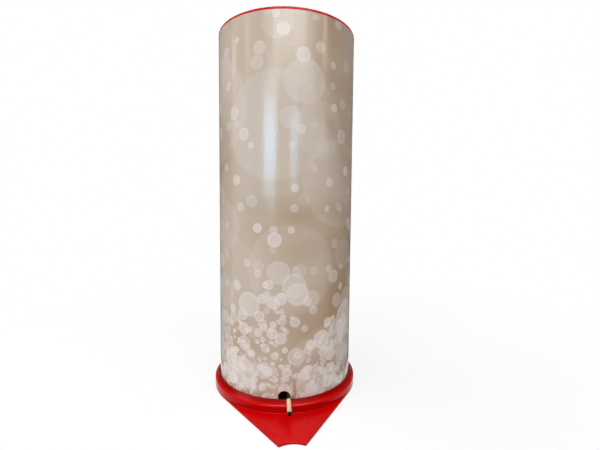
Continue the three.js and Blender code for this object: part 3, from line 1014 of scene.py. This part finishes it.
def turned(name, corners, material, around=192):
    """A piece turned from a profile of corners."""
    profile = rounded(corners, margin=0.15 * MM)
    mesh = bpy.data.meshes.new(name)
    mesh.from_pydata(
        [(r, 0, z) for r, z in profile], [(i, i + 1) for i in range(len(profile) - 1)], []
    )
    return apply_tree(link(name, mesh), turning_tree(), Around=around, Material=material)


def disc(name, low, high, low_round, high_round, material, around=192):
    """A round board between two corners of its box."""
    sides = (low.z, low_round), (high.z, high_round)
    rim = [(high.x, height, radius) for height, radius in sides]
    return turned(name, [(0, low.z), *rim, (0, high.z)], material, around)


def lid_corners(settings):
    """Sunk panel with a step and an injection point, tapered skirt with a sealing bead, flange."""
    skirt = BORE - FIT - 0.35 * MM
    low_skirt = skirt - 0.5 * MM
    low, rim, top = lid_low.z, core_high.z, lid_high.z
    panel, step, wall = low + settings.panel, settings.step / 2, settings.skirt_wall
    bead = rim - 3 * MM
    return [
        (0, low + 1 * MM),
        (step - 1 * MM, low + 1 * MM, 0.3 * MM),
        (step, low, 0.3 * MM),
        (low_skirt, low, 1 * MM),
        (skirt, bead - 0.7 * MM, 0.6 * MM),
        (skirt + 0.35 * MM, bead, 0.3 * MM),
        (skirt, bead + 0.7 * MM, 0.4 * MM),
        (skirt, rim, 0.15 * MM),
        (wrap_high.x, rim, 0.2 * MM),
        (wrap_high.x, top, settings.flange_round),
        (skirt - wall, top, 0.5 * MM),
        (low_skirt - wall, panel, 0.5 * MM),
        (step, panel, 0.3 * MM),
        (step - 1 * MM, panel + 1 * MM, 0.3 * MM),
        (3.4 * MM, panel + 1 * MM, 0.12 * MM),
        (3.1 * MM, panel + 0.75 * MM, 0.12 * MM),
        (1.0 * MM, panel + 0.75 * MM, 0.08 * MM),
        (0.85 * MM, panel + 1.05 * MM, 0.08 * MM),
        (0, panel + 1.05 * MM),
    ]


# Fuse and charge

FUSE_OFFSET = -0.3 * MM
FUSE_INNER_END = 6 * MM
FUSE_CREST = COLLAR_TOP + FIT + 0.9 * MM
FUSE_END = wrap_high.x + 13.5 * MM
FUSE_DROOP = math.radians(15)
TIP = 1.3 * MM
SLEEVE_START = 2.7 * MM
SLEEVE_BORE = 1.02 * MM
ROUTE_STEP = 0.1 * MM


def fuse_runs():
    """The corners of the fuse's two curves, as distance from the axis and height: out of the wool
    and up through the notch, then over the collar's edge and down to the free end."""
    wool_middle = (liner_high.z + wool_high.z) / 2
    start, bend = (SOCKET, FUSE_CREST), SOCKET + 2 * MM
    inner = (
        (FUSE_INNER_END, wool_middle), (CHARGE_RING + 6 * MM, wool_middle),
        (SPIGOT_INNER - 6 * MM, FUSE_CREST), start,
    )
    end = (FUSE_END, FUSE_CREST - (FUSE_END - bend) * math.tan(FUSE_DROOP))
    return inner, (start, (bend, FUSE_CREST), end)


def bezier(corners, part):
    """A point on a curve through its first and last corner, drawn towards those between."""
    while len(corners) > 1:
        corners = [
            (a[0] + (b[0] - a[0]) * part, a[1] + (b[1] - a[1]) * part)
            for a, b in zip(corners, corners[1:])
        ]
    return corners[0]


def route(corners):
    """Points a fixed step apart along a curve, in the fuse's upright plane."""
    fineness = 2000
    curve = [bezier(corners, i / fineness) for i in range(fineness + 1)]
    fine = [Vector((FUSE_OFFSET, -r, z)) for r, z in curve]
    points, gone = [fine[0]], 0.0
    for a, b in zip(fine, fine[1:]):
        gone += (b - a).length
        if gone >= ROUTE_STEP:
            points.append(b)
            gone -= ROUTE_STEP
    return points


def swept(name, path, rows, material, radius_at, around=36):
    """A skin round a path. Each row is (how far along the path, radius). The rows run over the
    outside from the near end to the far end, and back inside where the piece is hollow."""
    step = (path[1] - path[0]).length
    columns = [[] for _ in range(around)]
    side = Vector((1, 0, 0))
    for along, radius in rows:
        near = min(int(along / step), len(path) - 2)
        ahead = (path[near + 1] - path[near]).normalized()
        centre = path[near] + ahead * (along - near * step)
        above = side.cross(ahead)
        for j, column in enumerate(columns):
            turn = TURN * j / around
            spoke = side * math.cos(turn) + above * math.sin(turn)
            column.append(centre + spoke * radius_at(along, turn, radius))
    points, faces = loft(columns)
    return skin(name, points, faces, [material], crease=50)


def winding_tree():
    """A cord along a path of edges, wound with crossing threads that stand out as fine ribs."""
    tree, take, result = group(
        "wound_cord", "GeometryNodeTree", "Geometry", Path="Geometry", Radius=0.9 * MM,
        Pitch=0.75 * MM, Rib=0.09 * MM, Around=24, Step=0.1 * MM, Material="Material",
    )
    curve = put(tree, "GeometryNodeMeshToCurve", take["Path"])
    even = put(tree, "GeometryNodeResampleCurve", curve, mode="LENGTH", Length=take["Step"])
    run = put(tree, "GeometryNodeSplineParameter").outputs
    ring = put(
        tree, "GeometryNodeCurvePrimitiveCircle", Resolution=take["Around"], Radius=take["Radius"]
    )
    marked = []
    for name, line, value in (("Along", even, "Length"), ("About", ring, "Factor")):
        keep = put(tree, "GeometryNodeCaptureAttribute", domain="POINT")
        keep.capture_items.new("FLOAT", name)
        plug(tree, keep.inputs[0], line)
        plug(tree, keep.inputs[1], run[value])
        marked.append(keep)
    along, about = marked
    cord = put(tree, "GeometryNodeCurveToMesh", Curve=along, Profile_Curve=about, Fill_Caps=True)
    turn = put(tree, "Math MULTIPLY", about.outputs[1], TURN)
    wound = put(tree, "Math DIVIDE", along.outputs[1], take["Pitch"])
    phase = put(tree, "Math MULTIPLY", wound, TURN)
    ribs = []
    # Turns of thread per pitch and their direction, and how narrow the rib is
    for winding, narrow in ((1.0, 1.6), (-2.0, 6.0)):
        slant = put(tree, "Math MULTIPLY_ADD", turn, winding, phase)
        half = put(tree, "Math MULTIPLY", slant, 0.5)
        wave = put(tree, "Math COSINE", half)
        crown = put(tree, "Math ABSOLUTE", wave)
        ribs.append(put(tree, "Math POWER", crown, narrow))
    raised = put(tree, "Math MAXIMUM", *ribs)
    sunk = put(tree, "Math SUBTRACT", raised, 1.0)
    rib = put(tree, "Math MULTIPLY", sunk, take["Rib"])
    facing = put(tree, "GeometryNodeInputNormal")
    push = put(tree, "VectorMath SCALE", facing, Scale=rib)
    shaped = put(tree, "GeometryNodeSetPosition", Geometry=cord, Offset=push)
    return close(tree, shaped, take, result)


def wool_tree():
    """A pad with an uneven surface and loose curled fibres all over it."""
    tree, take, result = group(
        "loose_fibres", "GeometryNodeTree", "Geometry", Pad="Geometry", Lumps=0.5 * MM,
        Fibres_per_area=700000.0, Curl=1.3 * MM, Fibre=0.035 * MM, Lowest=0.0, Highest=1.0, Seed=3,
        Material="Material",
    )
    lumps = put(tree, "TexNoise", Scale=1 / (3 * MM), Detail=2)
    low = put(tree, "Math SUBTRACT", lumps, 0.75)
    depth = put(tree, "Math MULTIPLY", low, take["Lumps"])
    facing = put(tree, "GeometryNodeInputNormal")
    push = put(tree, "VectorMath SCALE", facing, Scale=depth)
    pad = put(tree, "GeometryNodeSetPosition", Geometry=take["Pad"], Offset=push)
    seats = put(
        tree, "GeometryNodeDistributePointsOnFaces", Mesh=pad, Density=take["Fibres per area"],
        Seed=take["Seed"],
    )
    start = put(tree, "Math MULTIPLY", take["Curl"], 0.5)
    lean = put(tree, "Math MULTIPLY", take["Curl"], 0.2)
    curl = put(
        tree, "GeometryNodeCurveSpiral", Resolution=11, Rotations=0.8, Start_Radius=start,
        End_Radius=take["Curl"], Height=lean,
    )
    section = put(tree, "GeometryNodeCurvePrimitiveCircle", Resolution=3, Radius=take["Fibre"])
    fibre = put(tree, "GeometryNodeCurveToMesh", Curve=curl, Profile_Curve=section, Fill_Caps=True)
    # The fibres lie nearly flat, in every direction
    turns = put(
        tree, "FunctionNodeRandomValue", (-0.4, -0.4, 0.0), (0.4, 0.4, TURN),
        data_type="FLOAT_VECTOR", Seed=take["Seed"],
    )
    sizes = put(tree, "FunctionNodeRandomValue", 0.5, 1.2, data_type="FLOAT", Seed=take["Seed"])
    strewn = put(
        tree, "GeometryNodeInstanceOnPoints", Points=seats, Instance=fibre, Rotation=turns,
        Scale=sizes,
    )
    real = put(tree, "GeometryNodeRealizeInstances", strewn)
    whole = put(tree, "GeometryNodeJoinGeometry")
    plug(tree, whole.inputs[0], pad)
    plug(tree, whole.inputs[0], real)
    x, y, z = put(tree, "SeparateXYZ", put(tree, "GeometryNodeInputPosition")).outputs
    above = put(tree, "Math MAXIMUM", z, take["Lowest"])
    kept = put(tree, "Math MINIMUM", above, take["Highest"])
    pressed = put(tree, "CombineXYZ", x, y, kept)
    level = put(tree, "GeometryNodeSetPosition", Geometry=whole, Position=pressed)
    painted = put(tree, "GeometryNodeSetMaterial", level, Material=take["Material"])
    plug(tree, result.inputs[0], painted)
    return tree


# Operators


class BuildBase(bpy.types.Operator):
    """Moulded base: foot, collar, spigot with its notch, gussets and grooves"""

    bl_idname = "popper.base"
    bl_label = "Moulded base"

    def execute(self, context):
        place(moulded_base(context.scene.popper_base), "root", "base_plastic", "base_foot")
        return {"FINISHED"}


class BuildTube(bpy.types.Operator):
    """Spiral-wound card tube and the printed paper round it"""

    bl_idname = "popper.tube"
    bl_label = "Card tube and print"

    def execute(self, context):
        settings = context.scene.popper_tube
        ply = (core_high.x - BORE) / PLIES
        card = fibre_board("spiral_wound_kraft_card", settings.card, "6B5435", 0.3 * MM, ply=ply)
        place(spiral_tube(settings, card), "root", "tube_card", "tube_core")
        paper = fibre_board("bare_white_paper_edge", linear("DDD6CA")[:3], "B8AE9E", 0.12 * MM, 0.8)
        seam, rise = math.pi + HOLE_TURN, 0.1 * MM
        sheet = rolled_sheet(
            "printed_paper", wrap_high.x, PAPER, wrap_low.z, wrap_high.z, seam, settings.lap, rise,
            [varnished_print(settings), paper], (HOLE_HEIGHT, HOLE_RADIUS),
        )
        place(sheet, "root", "gloss_print", "printed_wrap")
        return {"FINISHED"}


class BuildLid(bpy.types.Operator):
    """Plug lid with its sunk panel, skirt and flange"""

    bl_idname = "popper.lid"
    bl_label = "Plug lid"

    def execute(self, context):
        settings = context.scene.popper_lid
        plastic = red_polystyrene("moulded_red_polystyrene_lid", settings.red, 1.1)
        lid = turned("plug_lid", lid_corners(settings), plastic, around=256)
        place(lid, "lid", "lid_plastic", "lid")
        return {"FINISHED"}


class BuildTray(bpy.types.Operator):
    """Driving tray: grey board with a card band on its edge"""

    bl_idname = "popper.tray"
    bl_label = "Driving tray"

    def execute(self, context):
        settings = context.scene.popper_tray
        grey = fibre_board("pressed_grey_board", settings.board, "5B564E", 0.35 * MM)
        board = disc("driving_board_disc", board_low, board_high, 0.3 * MM, 0.4 * MM, grey)
        place(board, "driving_tray", "grey_board", "driving_board")
        card = fibre_board("rolled_band_card", settings.band, "87714C", 0.3 * MM)
        seam, lap, rise = math.radians(155), 12 * MM, 0.35 * MM
        band = rolled_sheet(
            "driving_band_card", band_high.x - rise, settings.band_wall - rise, band_low.z,
            band_high.z, seam, lap, rise, [card, card],
        )
        place(band, "driving_tray", "band_card", "driving_band")
        return {"FINISHED"}


class BuildFuse(bpy.types.Operator):
    """Fuse with its sleeve and primed tip, and the charge that it leads to"""

    bl_idname = "popper.fuse"
    bl_label = "Fuse and charge"

    def execute(self, context):
        settings = context.scene.popper_fuse
        inner, outer = fuse_runs()
        tail = route(outer)
        reach = (len(tail) - 1) * ROUTE_STEP
        whole = route(inner)[:-1] + tail
        mesh = bpy.data.meshes.new("fuse_line")
        line = [tuple(p) for p in whole if p.y > tail[-1].y + TIP / 2]
        mesh.from_pydata(line, [(i, i + 1) for i in range(len(line) - 1)], [])
        cord = apply_tree(
            link("wound_fuse_cord", mesh), winding_tree(), Radius=settings.cord_width / 2,
            Pitch=settings.thread, Material=coated_cord(settings),
        )
        place(cord, "root", "fuse_black", "fuse_cord")
        wide, steps = settings.sleeve_width / 2, 90
        # The sleeve's ends are a little rounded, and a small gap parts it from the tip
        gap, bevel, margin = 0.12 * MM, 0.05 * MM, 0.1 * MM
        ends = []
        for end, inward in ((SLEEVE_START, bevel), (reach - TIP - gap, -bevel)):
            ends.append([(end, wide - 0.25 * MM), (end + inward, wide - 0.08 * MM)])
        near, far = ends
        start, length = near[0][0] + margin, far[0][0] - near[0][0] - 2 * margin
        rows = near + [(start + length * i / steps, wide) for i in range(steps + 1)]
        rows += [far[1], far[0], (far[0][0], SLEEVE_BORE), (SLEEVE_START, SLEEVE_BORE), near[0]]
        sleeve = swept("wound_paper_sleeve", tail, rows, sleeve_paper(settings), paper_step)
        place(sleeve, "root", "sleeve_paper", "fuse_sleeve")
        # The tip is a short rod with a rounded end
        start = reach - TIP
        rows = [(start + a * MM, b * wide) for a, b in ((0.02, 0), (0.02, 0.7), (0.08, 0.93))]
        rows += [(start + 0.2 * MM + 0.65 * MM * i / 6, wide) for i in range(7)]
        rows += [(reach - 0.45 * MM * a, wide - 0.45 * MM * b) for a, b in quarter(5)[1:]]
        rows += [(reach, share * wide) for share in (0.5, 0.2, 0)]
        tip = swept("primed_fuse_tip", tail, rows, primed_head(settings), lumpy)
        place(tip, "root", "fuse_black", "fuse_cord")
        self.charge(settings)
        return {"FINISHED"}

    def charge(self, settings):
        card = fibre_board("charge_liner_card", linear("A39A8B")[:3], "6E6658", 0.3 * MM)
        liner = disc("charge_liner_disc", liner_low, liner_high, 0.1 * MM, 0.15 * MM, card, 128)
        place(liner, "root", "grey_board", "charge_liner")
        pad = link("propellant_wool_pad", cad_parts["propellant_wool"].data.copy())
        merge = bmesh.new()
        merge.from_mesh(pad.data)
        bmesh.ops.remove_doubles(merge, verts=merge.verts, dist=10 * WELD)
        merge.to_mesh(pad.data)
        merge.free()
        remesh = pad.modifiers.new("even", "REMESH")
        remesh.mode = "VOXEL"
        remesh.voxel_size = 0.5 * MM
        settle(pad)
        pad.data.materials.clear()
        apply_tree(
            pad, wool_tree(), Lowest=wool_low.z, Highest=wool_high.z + 0.6 * MM,
            Material=cotton_wool(settings),
        )
        place(pad, "root", "wool", "propellant_wool")


def paper_step(along, turn, radius):
    """The sleeve's paper winds round in a spiral, so its edge stands out as a fine step."""
    if radius < SLEEVE_BORE + WELD:
        return radius
    lead, step, wobble, grain = 3.4 * MM, 0.09 * MM, 0.02 * MM, 0.8 * MM
    wound = (turn / TURN + along / lead) % 1.0
    spot = Vector((along, math.cos(turn) * MM, math.sin(turn) * MM)) / grain
    return radius - step * wound + wobble * noise.noise(spot)


def lumpy(along, turn, radius):
    """Dried compound: the tip's surface rises and falls by a tenth of a millimetre."""
    grain = 0.55 * MM
    spot = Vector((along, radius * math.cos(turn), radius * math.sin(turn))) / grain
    return radius * (0.95 + 0.1 * noise.noise(spot))


class BuildStage(bpy.types.Operator):
    """Pale floor, soft lights and the camera"""

    bl_idname = "popper.stage"
    bl_label = "Floor, lights and camera"

    def execute(self, context):
        settings = context.scene.popper_stage
        floor(settings)
        room(settings)
        for lamp in LAMPS:
            area_lamp(*lamp)
        dark_cove()
        shot = bpy.data.cameras.new("camera")
        shot.sensor_width = 36
        shot.lens = LENS
        shot.clip_start = 0.01
        camera = bpy.data.objects.new("camera", shot)
        context.scene.collection.objects.link(camera)
        camera.matrix_world = camera_place()
        context.scene.camera = camera
        context.scene.view_settings.view_transform = "Standard"
        return {"FINISHED"}


# The camera stands close, a little above the tube's middle, and looks slightly down
LENS = 21.28
CAMERA_SPOT = Vector((-0.0130, -0.2475, 0.1247))
CAMERA_PITCH = 0.066
CAMERA_YAW = 0.0402 + math.radians(3.0)
CAMERA_ROLL = 0.0082

# Each lamp: degrees round from the front, positive to the right, and up from the tube's middle,
# distance, width and height in metres, brightness of its face where white paper is 1, colour, and
# whether it gives light, only shows as a gloss on the object, or both
LAMPS = (
    ("left_softbox", -100, 56, 1.6, 1.2, 1.2, 2.5, "FFFFFF", "all"),
    ("right_softbox", 108, 62, 1.6, 1.0, 1.0, 1.15, "FFFFFF", "all"),
    ("key_softbox", -42, 20, 1.5, 0.9, 0.5, 3.5, "FFFFFF", "light"),
    ("ceiling_strip", 5, 53, 1.6, 3.2, 0.12, 12.0, "FFFFFF", "all"),
    ("ceiling_edge", 5, 45, 1.6, 1.6, 0.18, 62.0, "FFFFFF", "gloss"),
    ("window_haze", -62, 8, 2.2, 1.8, 0.9, 1.1, "98CCFF", "gloss"),
    ("window_low", -29, 2.5, 1.3, 0.42, 0.12, 5.0, "B8E0FF", "gloss"),
    ("window", -29, 10.0, 1.3, 0.46, 0.20, 11.0, "9ED8FF", "gloss"),
    ("window_top", -29, 16.5, 1.3, 0.46, 0.09, 6.5, "D2E8FF", "gloss"),
    ("far_window", 9, 9, 2.0, 0.42, 0.34, 6.0, "A4D8FF", "gloss"),
    ("ceiling_glow", 2, 28.5, 2.0, 1.70, 0.32, 3.4, "FFFDFA", "gloss"),
    ("ceiling_haze", 3, 27, 2.1, 2.90, 0.50, 1.5, "FFFDFA", "gloss"),
    ("ceiling_lamp_left", -68, 25.5, 2.0, 0.14, 0.24, 5.5, "FFE2BE", "gloss"),
    ("ceiling_lamp_far_left", -97, 22, 2.0, 0.14, 0.14, 3.5, "FFE2BE", "gloss"),
    ("ceiling_lamp_right", 60, 26, 2.0, 0.14, 0.18, 6.5, "FFE2BE", "gloss"),
)
LAMP_CENTRE = Vector((0, 0, 0.125))


def area_lamp(name, azimuth, rise, far, wide, tall, level, shade_code, gives):
    """A soft lamp that faces the tube and doesn't show in the picture."""
    lamp = bpy.data.lights.new(name, "AREA")
    lamp.shape = "RECTANGLE"
    lamp.size, lamp.size_y = wide, tall
    lamp.energy = level * math.pi * wide * tall
    lamp.color = linear(shade_code)[:3]
    holder = bpy.data.objects.new(name, lamp)
    bpy.context.scene.collection.objects.link(holder)
    across = heading(math.radians(azimuth)) * math.cos(math.radians(rise))
    away = across + Vector((0, 0, math.sin(math.radians(rise))))
    holder.location = LAMP_CENTRE + away * far
    holder.rotation_euler = away.to_track_quat("Z", "Y").to_euler()
    holder.visible_camera = False
    holder.visible_diffuse = gives != "gloss"
    holder.visible_glossy = gives != "light"


def dark_cove():
    """A grey cloth that lies on the table behind and right of the object and hangs up behind that,
    out of sight. Only a gloss shows it: it draws the dark line down both edges of the tube."""
    profile = ((0.06, 0.001), (0.9, 0.001), (1.0, 0.1), (1.0, 1.8))
    first, last, steps = 66, 260, 16
    turns = [math.radians(first + (last - first) * i / steps) for i in range(steps + 1)]
    columns = [[at(turn, reach, height) for reach, height in profile] for turn in turns]
    points, faces = loft(columns, closed=False)
    cloth = skin("dark_cove", points, faces, [])
    material, _, _ = finish(
        "grey_cloth", Roughness=1.0, Specular_IOR_Level=0.0, Base_Color=linear("7C7C7C")
    )
    cloth.data.materials.append(material)
    cloth.visible_camera = cloth.visible_diffuse = False
    cloth.visible_shadow = cloth.visible_transmission = False


def camera_place():
    """Position and axes of the camera in the part's frame."""
    level = math.cos(CAMERA_PITCH)
    ahead = Vector(
        (math.sin(CAMERA_YAW) * level, math.cos(CAMERA_YAW) * level, -math.sin(CAMERA_PITCH))
    )
    right = Vector((math.cos(CAMERA_YAW), -math.sin(CAMERA_YAW), 0))
    up = right.cross(ahead)
    tilted = right * math.cos(CAMERA_ROLL) + up * math.sin(CAMERA_ROLL)
    upright = up * math.cos(CAMERA_ROLL) - right * math.sin(CAMERA_ROLL)
    axes = Matrix((tilted, upright, -ahead)).transposed().to_4x4()
    return Matrix.Translation(CAMERA_SPOT) @ axes


def floor(settings):
    """White paper floor: it takes the object's shadow and runs out into the white background."""
    far, below = 6.0, -0.1 * MM
    corners = [(x * far, y * far, below) for x, y in ((-1, -1), (1, -1), (1, 1), (-1, 1))]
    sheet = skin("floor", corners, [(0, 1, 2, 3)], [])
    material, tree, shader = finish(
        "white_floor_paper", Roughness=0.9, Specular_IOR_Level=0.1, Base_Color=(*settings.floor, 1)
    )
    # Far out the paper is plain white, and near the object a quarter of its light takes the shadow
    spot = put(tree, "TexCoord").outputs["Object"]
    away = put(tree, "VectorMath LENGTH", spot)
    plain = put(tree, "MapRange", away, 0.12, 0.4, 0.74, 1.0, interpolation_type="SMOOTHSTEP")
    share = put(tree, "Math MULTIPLY", seen_rays(tree), plain)
    glow = put(tree, "Emission", Color=(1, 1, 1, 1), Strength=1.0)
    mixed = put(tree, "MixShader", share, shader, glow)
    plug(tree, tree.nodes["Material Output"].inputs[0], mixed)
    sheet.data.materials.append(material)


def room(settings):
    """The room: plain light all round, and white where the camera or a gloss shows it."""
    world = bpy.data.worlds.new("room")
    world.use_nodes = True
    bpy.context.scene.world = world
    tree = world.node_tree
    level = put(tree, "MapRange", seen_rays(tree), None, None, settings.fill, 1.0)
    feed(tree, tree.nodes["Background"], Strength=level, Color=(1, 1, 1, 1))


class PopperPanel(bpy.types.Panel):
    """The popper's pieces in the sidebar"""

    bl_idname = "VIEW3D_PT_popper"
    bl_label = "Table popper"
    bl_space_type = "VIEW_3D"
    bl_region_type = "UI"
    bl_category = "Popper"

    def draw(self, context):
        for build, settings in STEPS:
            box = self.layout.box()
            box.operator(build.bl_idname)
            values = getattr(context.scene, settings)
            for name in values.bl_rna.properties.keys():
                if name not in ("rna_type", "name"):
                    box.prop(values, name)


GROUPS = {
    "popper_base": BaseSettings,
    "popper_tube": TubeSettings,
    "popper_lid": LidSettings,
    "popper_tray": TraySettings,
    "popper_fuse": FuseSettings,
    "popper_stage": StageSettings,
}
STEPS = (
    (BuildStage, "popper_stage"),
    (BuildBase, "popper_base"),
    (BuildTube, "popper_tube"),
    (BuildLid, "popper_lid"),
    (BuildTray, "popper_tray"),
    (BuildFuse, "popper_fuse"),
)
CLASSES = (*GROUPS.values(), *(build for build, _ in STEPS), PopperPanel)


def register():
    for cls in CLASSES:
        bpy.utils.register_class(cls)
    for name, cls in GROUPS.items():
        setattr(bpy.types.Scene, name, PointerProperty(type=cls))


def unregister():
    for name in GROUPS:
        delattr(bpy.types.Scene, name)
    for cls in reversed(CLASSES):
        bpy.utils.unregister_class(cls)


def main():
    register()
    for build, _ in STEPS:
        family, step = build.bl_idname.split(".")
        getattr(getattr(bpy.ops, family), step)()


if __name__ == "__main__":
    main()
